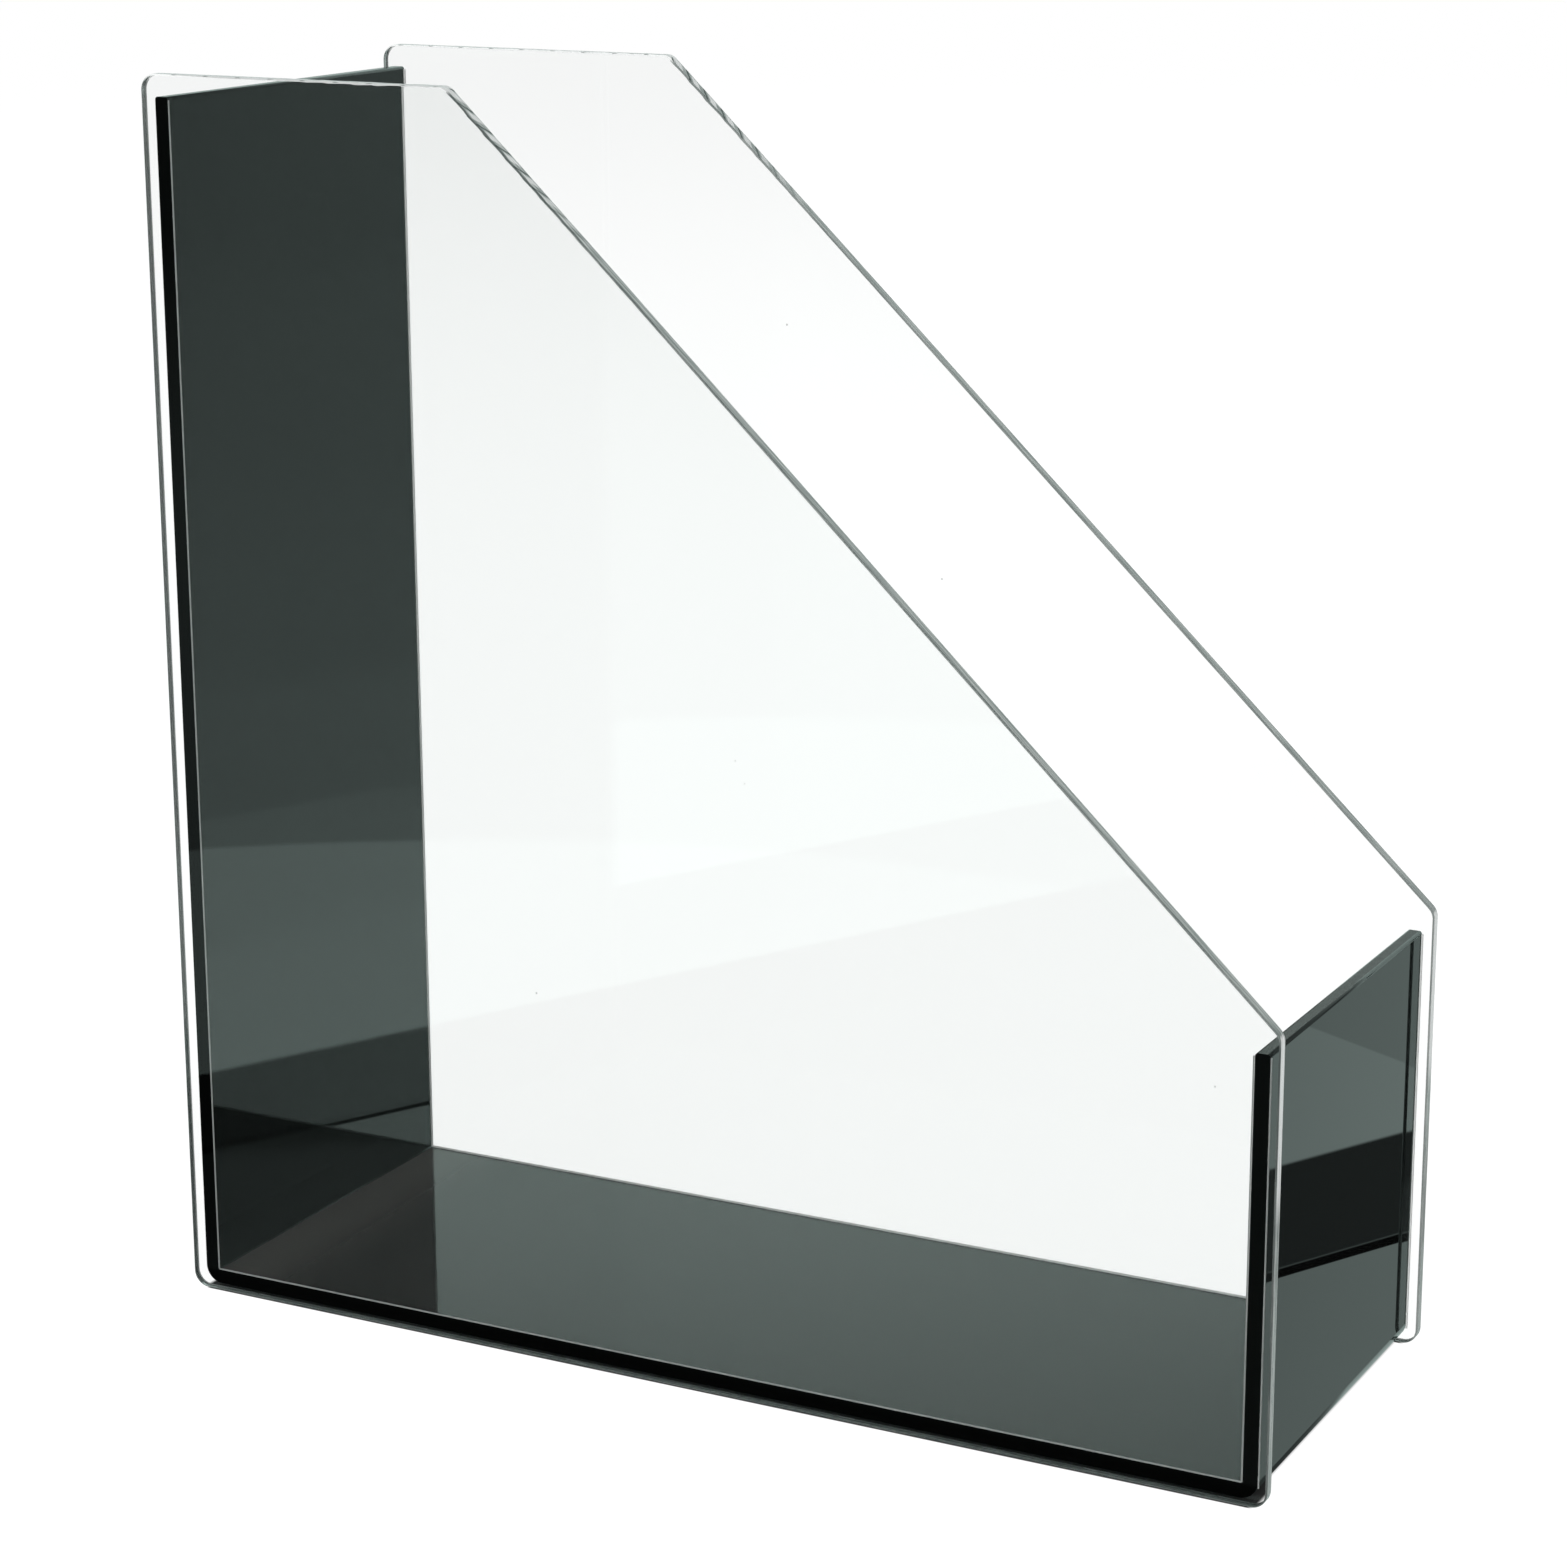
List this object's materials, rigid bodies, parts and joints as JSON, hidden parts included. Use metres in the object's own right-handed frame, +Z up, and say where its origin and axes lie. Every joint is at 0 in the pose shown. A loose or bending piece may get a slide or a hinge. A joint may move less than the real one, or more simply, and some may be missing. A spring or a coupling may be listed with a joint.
{
  "type": "magazine rack",
  "caption": "Upright desktop magazine rack with clear acrylic sides, sloped down to a low front, and a bent black acrylic back, floor and front.",
  "frame": {"origin": "middle of the footprint, on the surface that the rack stands on", "axes": "+Z up, +X towards the low open front, +Y across the width towards the right side panel"},
  "size_m": [0.29, 0.1066, 0.305],
  "materials": {
    "clear_acrylic": "clear cast acrylic sheet with flame-polished edges",
    "black_acrylic": "opaque gloss black acrylic sheet, heat bent",
    "acrylic_cement": "clear cured solvent cement with small bubbles"
  },
  "bodies": {
    "root": {"bent_band": "black_acrylic", "left_side_panel": "clear_acrylic", "right_side_panel": "clear_acrylic", "left_cement_seam": "acrylic_cement", "right_cement_seam": "acrylic_cement"}
  },
  "joints": []
}
